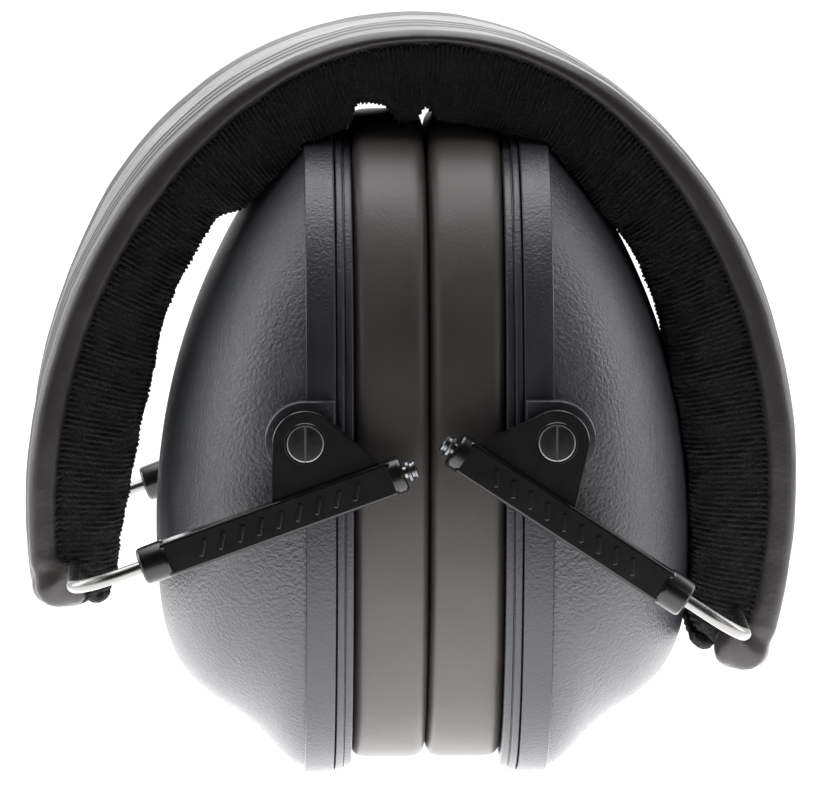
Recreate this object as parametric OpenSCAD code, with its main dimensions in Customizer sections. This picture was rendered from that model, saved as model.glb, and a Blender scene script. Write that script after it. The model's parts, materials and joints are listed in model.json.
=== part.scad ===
// Folding earmuff hearing protector, in its folded pose, in millimetres.
// X to the wearer's side, Y through the headband's width, Z up. The origin is under the middle of the
// object, at the height of the two cups' lowest points.

/* [Cups] */
// Height of a cup's rim
cup_height = 103.4; // [98:0.2:106]
// Width of a cup's rim, front to back
cup_width = 84; // [80:1:88]
// Depth of one ear cushion
cushion_depth = 11.6; // [10:0.2:12]
// Depth of the plate that the cushion is sealed to
plate_depth = 2.7; // [2.4:0.1:3.4]
// Depth of the straight band round the cup's mouth
rim_depth = 4.6; // [4:0.2:5]
// Cup wall
cup_wall = 3; // [2.5:0.1:3.4]
// Where the two cushions meet, measured from the middle of the object
meeting_x = 2.1; // [1.8:0.1:2.4]

/* [Headband] */
// Half the headband's outer span
band_half_span = 59.4; // [58:0.2:61]
// Height of the headband's crown above its widest line
band_rise = 73.5; // [73:0.1:75]
// Front to back width of the headband
band_width = 36; // [30:1:40]
// How far the headband leans to the right of upright
band_lean = 4.35; // [3.5:0.05:5]
// Pad thickness at the crown
crown_pad = 9.5; // [8:0.1:9.6]
// Pad thickness down the sides
side_pad = 14.6; // [12:0.1:14.7]
// Pad thickness at the ends
end_pad = 12.4; // [11.5:0.1:13]

/* [Wires and arms] */
// Diameter of the spring steel wire
wire_d = 2; // [1.8:0.1:2.2]
// Inner radius of the wire's bends, to its middle
wire_bend = 7; // [6:0.5:8]
// From the headband hinge to the arm's outer collar
wire_out = 11.2; // [10:0.1:12]
// Length of a slider arm
arm_length = 42.5; // [40:0.5:44]
// Height of a slider arm's bar
arm_height = 5.3; // [5:0.1:6]
// Depth of a slider arm's bar
arm_depth = 4.4; // [4:0.1:4.8]
// From the outer collar to the pivot, along the bar
pivot_along = 29.9; // [28:0.1:31]
// From the bar's middle up to the pivot
pivot_rise = 9.35; // [9:0.05:10]
// Diameter of the pivot pin's head
pin_head_d = 5.8; // [5:0.1:6]

/* [Fits] */
// Clearance round a turning pin or a sliding wire, on the radius
running_gap = 0.05; // [0.02:0.01:0.1]
// Gap between moving faces
side_gap = 0.3; // [0.2:0.05:0.5]

/* [Hidden] */

$fn = 48;
LEFT = -1;
RIGHT = 1;

// Cup, measured outward from the plane where the cushions meet
touch_gap = 0.15;
plate_start = cushion_depth;
rim_start = plate_start + plate_depth;
dome_start = rim_start + rim_depth;
dome_depth = 41.9;
dome_top_r = 97;
dome_mid_z = 39.3;
dome_power = 2.4;
rim_mid_z = cup_height / 2;
oval_power = 2.3;
oval_steps = 72;
slice = 0.01;
flare_low = [[dome_start, 1], [22.5, 3.5], [25.5, 7]];
dome_low = [[25.5, 7], [29, 10], [33, 12.4], [36.5, 15.3], [39, 19], [40.7, 24], [41.6, 31]];
hollow_low = [[dome_start, 4.5], [22, 7.5], [25.5, 11.2], [30, 14.5], [34, 18], [36.5, 22.5], [38, 29]];
cushion_lift = 2.2;
cushion_height = cup_height - cushion_lift - 0.4;
cushion_width = cup_width - 2.4;
cushion_mid_z = cushion_lift + cushion_height / 2;
skin = 0.9;
ear_height = 66;
ear_width = 44;
plate_inset = 0.3;
plate_step_inset = 0.8;
lip_depth = 3;
lip_wall = 1.4;
lip_gap = 0.7;
damping_wall = 4.2;
damping_t = 7;
damping_low = [[18.4, 10], [24, 14], [31, 20], [36, 27]];
damping_face_low = [[18.3, 16], [24, 20], [29.5, 28]];

// Pivot and arm
wire_r = wire_d / 2;
collar_r = 2.9;
outer_collar = 4.5;
inner_collar = 2.2;
bar_chamfer = 0.6;
leg_y = 44.8;
plate_out_y = leg_y + 0.6;
plate_in_y = leg_y - 1.6;
apex_r = 5;
arc_steps = 24;
arm_end = wire_out + arm_length;
pivot_u = wire_out + pivot_along;
pivot_base = [pivot_u - 8.9, pivot_u + 11.1];
pin_head_r = pin_head_d / 2;
pin_shank_r = 2;
pin_head_depth = 1.2;
pin_proud = 0.2;
slot_width = 0.8;
slot_depth = 0.6;
boss_r = 6.1;
boss_y = plate_in_y - side_gap;
boss_root_y = 38.6;
pin_end_y = 39.5;
stop_r = 1.75;
stop_length = 1.6;
rib_count = 9;
rib_pitch = 3.1;
rib_width = 0.7;
rib_length = 2.8;
rib_height = 0.3;
rib_slant = 30;

// Headband layers, as depths below its outer face
band_mid_z = 44.7;
band_end = 107.4;
cover_end = 106.2;
flank_end = 105.8;
band_last = 104;
band_pitch = 4;
cover_t = 1.2;
// How far the cover's open side runs on past the pad, so that it cuts right through
through = 10;
// Where the pad starts and ends to swell down the side, and to thin out towards the end, in degrees
swell_from = 24;
swell_over = 32;
thin_from = 85;
thin_over = 22;
flank_depth = 4.3;
// How deep the cover's flap reaches over each end, and the angle that cuts it clear of the band
flap_depth = 8.2;
beyond_end = 108.4;
seam_gap = 0.1;
spring_top = 2;
spring_t = 1;
spring_width = 20;
spring_end = 105;
liner_t = 2.5;
hinge_x = 51.5;
hinge_z = -13.7;
hinge_depth = 6.8;
hinge_tilt = 8.7;
block_low = -4.6;
block_length = 12.2;
block_width = 24;
block_top = 3.45;
block_depth = 6.2;
rivet_r = 1.5;
rivet_head_r = 2.6;
rivet_head = 0.6;
rivet_y = 6;
rivet_along = 3.6;
rivet_end = 2.4;

pivot_x = dome_start + 0.2;
pivot_z = 57.6;

function sign_power(v, p) = sign(v) * pow(abs(v), p);
// An oval with the given height and width, as points
function oval(h, w) = [
    for (i = [0 : oval_steps - 1])
        let (a = 360 * i / oval_steps)
        [h / 2 * sign_power(cos(a), 2 / oval_power), w / 2 * sign_power(sin(a), 2 / oval_power)]
];
function smooth(u) = let (c = min(1, max(0, u))) c * c * (3 - 2 * c);

// Pad thickness at an angle from the crown
function pad_at(a) = crown_pad
    + (side_pad - crown_pad) * smooth((abs(a) - swell_from) / swell_over)
    + (end_pad - side_pad) * smooth((abs(a) - thin_from) / thin_over);
// A point of the headband's own side view, at an angle from the crown and a depth below its face
function band_point(a, depth) =
    let (
        inward = -[sin(a) / band_half_span, cos(a) / band_rise],
        unit = inward / norm(inward)
    )
    [band_half_span * sin(a), band_rise * cos(a)] + unit * depth;
// The angles at which every layer has its points, out to where the layer ends
function stations(reach) = concat(
    [-reach],
    [for (a = [-band_last : band_pitch : band_last]) a],
    [reach]
);
// The outline between a depth below the outer face and a height above the pad's inner face
function layer(top, above, reach) =
    let (angles = stations(reach), last = len(angles) - 1)
    [
        for (i = [0 : last]) band_point(angles[i], top),
        for (i = [last : -1 : 0]) band_point(angles[i], pad_at(angles[i]) - above)
    ];
// The outline between two depths below the outer face
function strip(top, low, reach) =
    let (angles = stations(reach), last = len(angles) - 1)
    [
        for (i = [0 : last]) band_point(angles[i], top),
        for (i = [last : -1 : 0]) band_point(angles[i], low)
    ];

// Where the headband's frame stands: leaned over and raised
module in_band() {
    translate([0, 0, band_mid_z]) rotate([0, band_lean, 0]) children();
}
// An outline of the headband, extruded across its width
module across(outline, width) {
    rotate([90, 0, 0]) translate([0, 0, -width / 2]) linear_extrude(width) polygon(outline);
}
// The hinge's own frame in the band: X inward through the pad, Z along it towards the crown
module at_hinge(side) {
    mirror([side > 0 ? 1 : 0, 0, 0])
        translate([-hinge_x, 0, hinge_z]) rotate([0, -hinge_tilt, 0]) children();
}
function hinge_point(side) = [
    side * hinge_x * cos(band_lean) + hinge_z * sin(band_lean),
    0,
    band_mid_z - side * hinge_x * sin(band_lean) + hinge_z * cos(band_lean)
];
function pivot_point(side) = [meeting_x + side * pivot_x, 0, pivot_z];
// Angle of an arm above level, so that its pivot meets the cup's
function arm_angle(side) =
    let (reach = pivot_point(side) - hinge_point(side))
    atan2(reach[2], abs(reach[0])) - asin(pivot_rise / norm(reach));
// How far an arm stands slid along its wire, so that its pivot meets the cup's
function arm_shift(side) =
    let (reach = pivot_point(side) - hinge_point(side))
    sqrt(pow(norm(reach), 2) - pow(pivot_rise, 2)) - pivot_u;

// The arm's own frame: X from the hinge along the wire, Z up across the bar
module in_arm(side) {
    translate(hinge_point(side))
        mirror([side > 0 ? 1 : 0, 0, 0])
            rotate([0, -arm_angle(side), 0]) children();
}
// The cup's own frame: X outward from the cushions' meeting plane
module in_cup(side) {
    translate([meeting_x, 0, 0]) mirror([side < 0 ? 1 : 0, 0, 0]) children();
}
module mirrored_y(back) {
    mirror([0, back ? 1 : 0, 0]) children();
}
// A cylinder along Y between two distances in front
module along_y(r, near, far) {
    translate([0, -near, 0]) rotate([90, 0, 0]) cylinder(r = r, h = far - near);
}
module along_x(r, from, to) {
    translate([from, 0, 0]) rotate([0, 90, 0]) cylinder(r = r, h = to - from);
}
// An oval slab across the cup
module slab(from, to, h, w, mid) {
    translate([from, 0, mid]) rotate([0, 90, 0]) linear_extrude(to - from) polygon(oval(h, w));
}
function dome_high(d, wall) =
    dome_mid_z + sqrt(pow(dome_top_r - wall, 2) - pow(d - dome_depth + dome_top_r, 2));
function dome_half_width(d, wall) =
    (cup_width / 2 - wall)
        * sqrt(1 - pow(max(0, d - dome_start) / (dome_depth - wall - dome_start), dome_power));
// A closed dome through slices whose lowest points are given
module dome(low, wall) {
    hull() {
        for (p = low) {
            high = min(cup_height - wall, dome_high(p[0], wall));
            slab(p[0], p[0] + slice, high - p[1], 2 * dome_half_width(p[0], wall), (high + p[1]) / 2);
        }
    }
}

/* Headband */
module headband_cover() {
    color("#3b3634") in_band() difference() {
        across(layer(0, 0, band_end), band_width);
        across(layer(cover_t, -through, cover_end), band_width - 2 * cover_t);
        across(layer(flank_depth, -through, flank_end), band_width + 1);
        across(layer(flap_depth, -through, beyond_end), band_width + 1);
    }
}
// The room that the cover's flap takes over one end
module flap_room(turn) {
    across([
        band_point(turn * flank_end, 0),
        band_point(turn * beyond_end, 0),
        band_point(turn * beyond_end, flap_depth + seam_gap),
        band_point(turn * flank_end, flap_depth + seam_gap)
    ], band_width + 1);
}
module foam_block() {
    across(layer(cover_t, liner_t, cover_end), band_width - 2 * cover_t);
}
module headband_foam() {
    color("#8a8a84") difference() {
        in_band() difference() {
            foam_block();
            across(strip(spring_top, spring_top + spring_t, spring_end), spring_width);
        }
        for (side = [LEFT, RIGHT]) {
            in_band() at_hinge(side) {
                hinge_block_shape();
                rivets();
            }
            hinge_hole(side, wire_r + 0.4);
        }
    }
}
module headband_spring() {
    color("#9a9ea2") difference() {
        in_band() across(strip(spring_top, spring_top + spring_t, spring_end), spring_width);
        for (side = [LEFT, RIGHT]) in_band() at_hinge(side) rivet_bars(rivet_r, -hinge_depth, 0);
    }
}
module headband_liner() {
    color("#1b1b1c") difference() {
        in_band() difference() {
            across(layer(flank_depth, 0, band_end), band_width);
            foam_block();
            for (turn = [LEFT, RIGHT]) flap_room(turn);
        }
        for (side = [LEFT, RIGHT]) hinge_hole(side, wire_r + 0.4);
    }
}
module hinge_hole(side, r) {
    translate(hinge_point(side)) along_y(r, -band_width, band_width);
}
module hinge_block_shape() {
    translate([block_top - hinge_depth, -block_width / 2, block_low])
        cube([block_depth, block_width, block_length]);
}
// Two round bars through the strip and the block, between two depths from the hinge
module rivet_bars(r, from, to) {
    for (y = [-rivet_y, rivet_y]) {
        translate([from, y, rivet_along]) rotate([0, 90, 0]) cylinder(r = r, h = to - from);
    }
}
module rivets() {
    head = spring_top - hinge_depth;
    rivet_bars(rivet_head_r, head - rivet_head, head);
    rivet_bars(rivet_r, head - rivet_head / 2, rivet_end);
}
module hinge_block(side) {
    color("#2a2a2c") difference() {
        in_band() at_hinge(side) difference() {
            hinge_block_shape();
            rivet_bars(rivet_r, -hinge_depth, hinge_depth);
        }
        hinge_hole(side, wire_r + running_gap);
    }
}
module hinge_rivets(side) {
    color("#b9bcc0") in_band() at_hinge(side) rivets();
}

/* Wires and arms */
module wire_corner() {
    translate([wire_bend, -leg_y + wire_bend, 0])
        rotate([0, 0, 180]) rotate_extrude(angle = 90) translate([wire_bend, 0]) circle(r = wire_r);
}
module wire(side) {
    half = leg_y - wire_bend;
    color("#c8cacc") in_arm(side) union() {
        along_y(wire_r, -half, half);
        for (back = [false, true]) mirrored_y(back) {
            wire_corner();
            translate([0, -leg_y, 0]) along_x(wire_r, wire_bend, arm_end + side_gap);
        }
    }
}
module wire_stops(side) {
    color("#5a5c60") in_arm(side) for (back = [false, true]) {
        mirrored_y(back) translate([0, -leg_y, 0]) {
            along_x(stop_r, arm_end + side_gap, arm_end + side_gap + stop_length);
        }
    }
}
// The angle on the circle of radius r round c where a line from p touches it, on the given side
function touch_angle(p, c, r, turn) =
    let (gap = p - c) atan2(gap[1], gap[0]) + turn * acos(r / norm(gap));
module arm_web() {
    apex = [pivot_u, pivot_rise];
    low = [pivot_base[0], 0];
    high = [pivot_base[1], 0];
    from = touch_angle(high, apex, apex_r, 1);
    to = touch_angle(low, apex, apex_r, -1) + 360;
    round = [for (i = [0 : arc_steps]) let (a = from + (to - from) * i / arc_steps)
        apex + apex_r * [cos(a), sin(a)]];
    translate([0, -plate_in_y, 0]) rotate([90, 0, 0]) linear_extrude(plate_out_y - plate_in_y)
        polygon(concat([low, high], round));
}
// The bar; its inner face is level with the web's, so that it clears the cup as it turns
module arm_bar() {
    h = arm_height / 2;
    out = -arm_depth / 2;
    inner = leg_y - plate_in_y;
    c = bar_chamfer;
    translate([wire_out, -leg_y, 0]) rotate([90, 0, 90]) linear_extrude(arm_length) polygon([
        [out + c, -h], [inner, -h], [inner, h], [out + c, h], [out, h - c], [out, -h + c]
    ]);
}
module arm_ribs() {
    middle = wire_out + outer_collar + (arm_length - outer_collar - inner_collar) / 2;
    for (i = [0 : rib_count - 1]) {
        u = middle + (i - (rib_count - 1) / 2) * rib_pitch;
        translate([u, -leg_y - arm_depth / 2, 0]) rotate([0, rib_slant, 0])
            cube([rib_width, 2 * rib_height, rib_length], center = true);
    }
}
module arm(side, back) {
    color("#26272b") in_arm(side) translate([arm_shift(side), 0, 0]) mirrored_y(back) difference() {
        union() {
            arm_bar();
            arm_web();
            arm_ribs();
            translate([0, -leg_y, 0]) along_x(collar_r, wire_out, wire_out + outer_collar);
            translate([0, -leg_y, 0]) along_x(collar_r, arm_end - inner_collar, arm_end);
        }
        translate([0, -leg_y, 0]) along_x(wire_r + running_gap, wire_out - 1, arm_end + 1);
        translate([pivot_u, 0, pivot_rise]) {
            along_y(pin_shank_r + running_gap, plate_in_y - 1, plate_out_y + 1);
            along_y(pin_head_r + running_gap, plate_out_y - pin_head_depth, plate_out_y + 1);
        }
    }
}

/* Pivot pins */
module pin(side, back) {
    head_y = plate_out_y - pin_head_depth + running_gap;
    color("#303237") translate(pivot_point(side)) mirrored_y(back) difference() {
        union() {
            along_y(pin_head_r, head_y, plate_out_y + pin_proud);
            along_y(pin_shank_r, pin_end_y, head_y);
        }
        translate([0, -plate_out_y - pin_proud, 0])
            cube([slot_width, 2 * slot_depth, 2 * pin_head_r + 1], center = true);
    }
}

/* Cups */
// A round boss with a straight tab, both ending where the cushion's plate begins
module pivot_boss(back) {
    mirrored_y(back) translate([pivot_x, 0, pivot_z]) difference() {
        union() {
            along_y(boss_r, boss_root_y, boss_y);
            translate([-boss_r, -boss_y, -boss_r]) cube([boss_r, boss_y - boss_root_y, 2 * boss_r]);
        }
        translate([rim_start - pivot_x - boss_r, -boss_y - 1, -boss_r - 1])
            cube([boss_r, boss_y, 2 * boss_r + 2]);
    }
}
module cup_shell(side) {
    color("#34363d") in_cup(side) difference() {
        union() {
            slab(rim_start, dome_start + slice, cup_height, cup_width, rim_mid_z);
            dome(flare_low, 0);
            dome(dome_low, 0);
            for (back = [false, true]) pivot_boss(back);
        }
        difference() {
            union() {
                dome(hollow_low, cup_wall);
                slab(rim_start - 1, dome_start + slice, cup_height - 2 * cup_wall, cup_width - 2 * cup_wall,
                    rim_mid_z);
            }
            for (back = [false, true]) pivot_boss(back);
        }
        for (back = [false, true]) mirrored_y(back) translate([pivot_x, 0, pivot_z]) {
            along_y(pin_shank_r + running_gap, pin_end_y - side_gap, boss_y + 1);
        }
    }
}
// A slab that follows the rim's outline, set in from it
module rim_slab(from, to, inset) {
    slab(from, to, cup_height - 2 * inset, cup_width - 2 * inset, rim_mid_z);
}
module cushion_plate(side) {
    lip_h = cup_height - 2 * (cup_wall + lip_gap);
    lip_w = cup_width - 2 * (cup_wall + lip_gap);
    middle = plate_start + plate_depth / 2;
    color("#2c2d32") in_cup(side) difference() {
        union() {
            rim_slab(plate_start, middle, plate_step_inset);
            rim_slab(middle, rim_start, plate_inset);
            difference() {
                slab(rim_start, rim_start + lip_depth, lip_h, lip_w, rim_mid_z);
                slab(rim_start, rim_start + lip_depth + 1, lip_h - 2 * lip_wall, lip_w - 2 * lip_wall,
                    rim_mid_z);
            }
        }
        slab(plate_start - 1, rim_start + 1, ear_height, ear_width, rim_mid_z);
    }
}
module cushion_ring(from, to, inset) {
    difference() {
        slab(from, to, cushion_height - 2 * inset, cushion_width - 2 * inset, cushion_mid_z);
        slab(from - 1, to + 1, ear_height + 2 * inset, ear_width + 2 * inset, rim_mid_z);
    }
}
module cushion_skin(side) {
    color("#4a423f") in_cup(side) difference() {
        cushion_ring(touch_gap, plate_start, 0);
        cushion_ring(touch_gap + skin, plate_start - skin, skin);
    }
}
module cushion_foam(side) {
    color("#c9c5b4") in_cup(side) cushion_ring(touch_gap + skin, plate_start - skin, skin);
}
module damping_foam(side) {
    color("#6d6d6a") in_cup(side) difference() {
        foam_lens(damping_low, damping_wall);
        foam_lens(damping_face_low, damping_wall + damping_t);
    }
}
// A lens of foam that follows the dome's hollow, set in from it
module foam_lens(low, wall) {
    hull() for (p = low) {
        high = min(cup_height - wall - 2, dome_high(p[0], wall) - 1);
        slab(p[0], p[0] + slice, high - p[1], 2 * dome_half_width(p[0], wall), (high + p[1]) / 2);
    }
}

headband_cover();
headband_foam();
headband_spring();
headband_liner();
hinge_block(LEFT);  // left_hinge_block
hinge_rivets(LEFT);  // left_hinge_rivets
wire(LEFT);  // left_wire
wire_stops(LEFT);  // left_wire_stops
arm(LEFT, false);  // left_front_arm
arm(LEFT, true);  // left_rear_arm
pin(LEFT, false);  // left_front_pin
pin(LEFT, true);  // left_rear_pin
cup_shell(LEFT);  // left_cup_shell
cushion_plate(LEFT);  // left_cushion_plate
cushion_skin(LEFT);  // left_cushion_skin
cushion_foam(LEFT);  // left_cushion_foam
damping_foam(LEFT);  // left_damping_foam
hinge_block(RIGHT);  // right_hinge_block
hinge_rivets(RIGHT);  // right_hinge_rivets
wire(RIGHT);  // right_wire
wire_stops(RIGHT);  // right_wire_stops
arm(RIGHT, false);  // right_front_arm
arm(RIGHT, true);  // right_rear_arm
pin(RIGHT, false);  // right_front_pin
pin(RIGHT, true);  // right_rear_pin
cup_shell(RIGHT);  // right_cup_shell
cushion_plate(RIGHT);  // right_cushion_plate
cushion_skin(RIGHT);  // right_cushion_skin
cushion_foam(RIGHT);  // right_cushion_foam
damping_foam(RIGHT);  // right_damping_foam
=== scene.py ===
import json
import math

import bmesh
import bpy
import numpy as np
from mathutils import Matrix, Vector, noise


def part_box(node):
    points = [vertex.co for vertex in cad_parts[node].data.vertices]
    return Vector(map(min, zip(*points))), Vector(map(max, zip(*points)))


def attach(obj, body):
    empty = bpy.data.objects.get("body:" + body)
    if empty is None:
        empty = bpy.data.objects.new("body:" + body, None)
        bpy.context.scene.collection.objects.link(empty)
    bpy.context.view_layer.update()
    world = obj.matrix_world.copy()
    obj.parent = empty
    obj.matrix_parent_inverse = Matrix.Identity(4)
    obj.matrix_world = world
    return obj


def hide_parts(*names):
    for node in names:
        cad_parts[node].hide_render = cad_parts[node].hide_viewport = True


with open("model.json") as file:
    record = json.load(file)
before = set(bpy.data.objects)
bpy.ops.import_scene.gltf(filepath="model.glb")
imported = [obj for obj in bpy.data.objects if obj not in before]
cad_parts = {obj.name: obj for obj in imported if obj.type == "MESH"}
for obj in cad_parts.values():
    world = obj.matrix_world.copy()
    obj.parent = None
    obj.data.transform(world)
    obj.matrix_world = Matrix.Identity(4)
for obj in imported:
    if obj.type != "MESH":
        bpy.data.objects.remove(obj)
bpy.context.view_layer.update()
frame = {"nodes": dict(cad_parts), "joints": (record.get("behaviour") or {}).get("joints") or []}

# Lengths below are in millimetres, in the part's own frame, and become metres in mesh_piece().
MM = 0.001
SIDES = {"left": -1, "right": 1}
JOINTS = {j["name"]: j for j in frame["joints"]}

# ---------------------------------------------------------------- the frame's own places
def mm(vector):
    return np.array(vector, float) / MM


PLANE_X = (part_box("left_cushion_skin")[1].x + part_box("right_cushion_skin")[0].x) / 2 / MM
SHELL_LOW, SHELL_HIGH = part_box("left_cup_shell")
PLATE_LOW, PLATE_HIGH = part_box("left_cushion_plate")
COVER_LOW, COVER_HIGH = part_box("headband_cover")
RIM_HEIGHT = (SHELL_HIGH.z - SHELL_LOW.z) / MM
RIM_WIDTH = (PLATE_HIGH.y - PLATE_LOW.y) / MM + 0.6
RIM_MID = RIM_HEIGHT / 2
BAND_WIDTH = (COVER_HIGH.y - COVER_LOW.y) / MM

# Cup, measured outward from the plane where the cushions meet
TOUCH_GAP = 0.15
PLATE_START = 11.6
RIM_START = 14.3
DOME_START = 18.9
DOME_DEPTH = 41.9
DOME_MID = 39.3
DOME_TOP_R = 97.0
DOME_LOW = [(18.9, 1.0), (20.6, 1.9), (22.5, 3.6), (25.5, 7.0), (29.0, 9.9), (33.0, 12.4),
            (36.5, 15.3), (39.0, 19.0), (40.7, 24.0), (41.6, 31.0), (41.9, DOME_MID)]
OVAL_POWER = 2.3
CUP_WALL = 3.0
CUSHION_LIFT = 2.2
CUSHION_HEIGHT = RIM_HEIGHT - CUSHION_LIFT + 0.9
CUSHION_WIDTH = RIM_WIDTH - 2.4
CUSHION_MID = CUSHION_LIFT + CUSHION_HEIGHT / 2
EAR_HEIGHT = 66.0
EAR_WIDTH = 44.0

# Headband, in its own side view: an ellipse leaned over about Y
HALF_SPAN = 59.4
RISE = 73.5
LEAN = math.radians(4.35)
BAND_MID = 44.7
BAND_ENDS = (-107.4, 109.3)
# Millimetres along the band, and along its inner ribs, for each degree
BAND_ARC = 1.26
RIB_ARC = 1.16

# Arms and pins
LEG_Y = 44.8
WIRE_R = 1.0
WIRE_BEND = 7.0
WIRE_OUT = 11.2
ARM_LENGTH = 42.5
ARM_END = WIRE_OUT + ARM_LENGTH
ARM_HEIGHT = 5.3
ARM_DEPTH = 4.4
PIVOT_U = 41.1
PIVOT_V = 9.35
WEB_OUT_Y = 45.4
WEB_IN_Y = 43.2
APEX_R = 5.0
BOSS_R = 6.1
BOSS_Y = 42.9


# ---------------------------------------------------------------- mesh helpers
def add_object(name, data):
    made = bpy.data.objects.new(name, data)
    bpy.context.scene.collection.objects.link(made)
    return made


def sharpen(piece, degrees):
    """Keeps edges that turn by more than this hard under the smooth shading."""
    piece.data.set_sharp_from_angle(angle=math.radians(degrees))


def mesh_piece(name, verts, faces, mat, body, slot):
    """A mesh in millimetres, made an object in metres that rides on a body."""
    mesh = bpy.data.meshes.new(name)
    mesh.from_pydata((np.asarray(verts, float) * MM).tolist(), [], [list(map(int, f)) for f in faces])
    mesh.update()
    bm = bmesh.new()
    bm.from_mesh(mesh)
    bmesh.ops.remove_doubles(bm, verts=bm.verts, dist=1e-7)
    bmesh.ops.recalc_face_normals(bm, faces=bm.faces)
    bm.to_mesh(mesh)
    bm.free()
    mesh.shade_smooth()
    piece = add_object(name, mesh)
    piece.data.materials.append(mat)
    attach(piece, body)
    return piece


def grid_faces(rows, cols, wrap_rows=False, wrap_cols=False, start=0):
    """Quads over a grid of points stored row by row."""
    r = np.arange(rows if wrap_rows else rows - 1)
    c = np.arange(cols if wrap_cols else cols - 1)
    r, c = np.meshgrid(r, c, indexing="ij")
    r2, c2 = (r + 1) % rows, (c + 1) % cols
    quads = np.stack([r * cols + c, r * cols + c2, r2 * cols + c2, r2 * cols + c], -1)
    return (quads.reshape(-1, 4) + start).tolist()


def join_parts(parts):
    """Several (verts, faces) as one."""
    verts, faces, base = [], [], 0
    for v, f in parts:
        v = np.asarray(v, float).reshape(-1, 3)
        verts.append(v)
        faces += [[i + base for i in face] for face in f]
        base += len(v)
    return np.vstack(verts), faces


def closed_loft(rings):
    """A solid through closed rings of equal length, with a flat face over each end."""
    rings = np.asarray(rings, float)
    n, m = rings.shape[:2]
    faces = grid_faces(n, m, wrap_cols=True)
    faces.append(list(range(m))[::-1])
    faces.append(list(range((n - 1) * m, n * m)))
    return rings.reshape(-1, 3), faces


def closed_tube(rings):
    """A ring-shaped solid, whose last ring joins the first."""
    rings = np.asarray(rings, float)
    return rings.reshape(-1, 3), grid_faces(*rings.shape[:2], wrap_rows=True, wrap_cols=True)


def bent_noise(points, scale, seed=0.0):
    """Smooth noise at each point, for points in millimetres and features about scale wide."""
    points = np.asarray(points, float)
    flat = points.reshape(-1, 3) / scale + seed
    return np.array([noise.noise(Vector(p)) for p in flat]).reshape(points.shape[:-1])


def smooth_step(u):
    u = np.clip(u, 0, 1)
    return u * u * (3 - 2 * u)


def circle_points(steps, r):
    a = np.linspace(0, 2 * math.pi, steps, endpoint=False)
    return np.stack([r * np.cos(a), r * np.sin(a)], -1)


def oval(height, width, steps):
    """An oval's (Z, Y) points, starting at its top."""
    a = np.linspace(0, 2 * math.pi, steps, endpoint=False)
    c, s = np.cos(a), np.sin(a)
    power = 2 / OVAL_POWER
    return np.stack([height / 2 * np.sign(c) * abs(c) ** power, width / 2 * np.sign(s) * abs(s) ** power], -1)


# ---------------------------------------------------------------- materials
def new_material(name, base, roughness, metallic=0.0, **sockets):
    mat = bpy.data.materials.new(name)
    mat.use_nodes = True
    shader = mat.node_tree.nodes["Principled BSDF"]
    shader.inputs["Base Color"].default_value = (*base, 1)
    shader.inputs["Roughness"].default_value = roughness
    shader.inputs["Metallic"].default_value = metallic
    for key, value in sockets.items():
        shader.inputs[key.replace("_", " ")].default_value = value
    return mat


def add_node(tree, kind, links=None, values=None, operation=None):
    """A node, with what its inputs are linked to and the values of the others."""
    node = tree.nodes.new("ShaderNode" + kind)
    if operation:
        node.operation = operation
    for key, value in (values or {}).items():
        node.inputs[key].default_value = value
    for key, source in (links or {}).items():
        tree.links.new(source, node.inputs[key])
    return node


def add_range(tree, source, start, end, low, high, smooth=False):
    """A number that goes from low to high as source goes from start to end."""
    node = add_node(tree, "MapRange", {"Value": source},
                    {"From Min": start, "From Max": end, "To Min": low, "To Max": high})
    if smooth:
        node.interpolation_type = "SMOOTHSTEP"
    return node.outputs["Result"]


def add_noise(mat, size, detail=3.0, rough=0.6, stretch=(1, 1, 1)):
    """A noise texture whose features are size millimetres wide."""
    tree = mat.node_tree
    place = add_node(tree, "TexCoord").outputs["Object"]
    mapping = add_node(tree, "Mapping", {"Vector": place}, {"Scale": stretch})
    tex = add_node(tree, "TexNoise", {"Vector": mapping.outputs["Vector"]},
                   {"Scale": 1 / (size * MM), "Detail": detail, "Roughness": rough})
    return tex.outputs["Fac"]


def add_cells(mat, size):
    """A cell texture whose cells are size millimetres wide."""
    tree = mat.node_tree
    place = add_node(tree, "TexCoord").outputs["Object"]
    return add_node(tree, "TexVoronoi", {"Vector": place}, {"Scale": 1 / (size * MM)}).outputs["Distance"]


def ramp(mat, source, low, high, span=(0.3, 0.7)):
    """A colour that goes from low to high as source crosses the span."""
    node = mat.node_tree.nodes.new("ShaderNodeValToRGB")
    node.color_ramp.elements[0].position, node.color_ramp.elements[1].position = span
    node.color_ramp.elements[0].color = (*low, 1)
    node.color_ramp.elements[1].color = (*high, 1)
    mat.node_tree.links.new(source, node.inputs["Fac"])
    return node.outputs["Color"]


def spread(mat, source, low, high):
    """A number that goes from low to high with source."""
    return add_range(mat.node_tree, source, 0, 1, low, high)


def bump(mat, source, height, strength=1.0, below=None):
    """Raises the surface by up to height millimetres with source, on top of another bump."""
    links = {"Height": source}
    if below is not None:
        links["Normal"] = below
    return add_node(mat.node_tree, "Bump", links,
                    {"Strength": strength, "Distance": height * MM}).outputs["Normal"]


def set_input(mat, key, source):
    mat.node_tree.links.new(source, mat.node_tree.nodes["Principled BSDF"].inputs[key])


def patchy(mat, source, dark, light, low, high):
    """Colour and roughness that both vary with source."""
    set_input(mat, "Base Color", ramp(mat, source, dark, light))
    set_input(mat, "Roughness", spread(mat, source, low, high))


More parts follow.
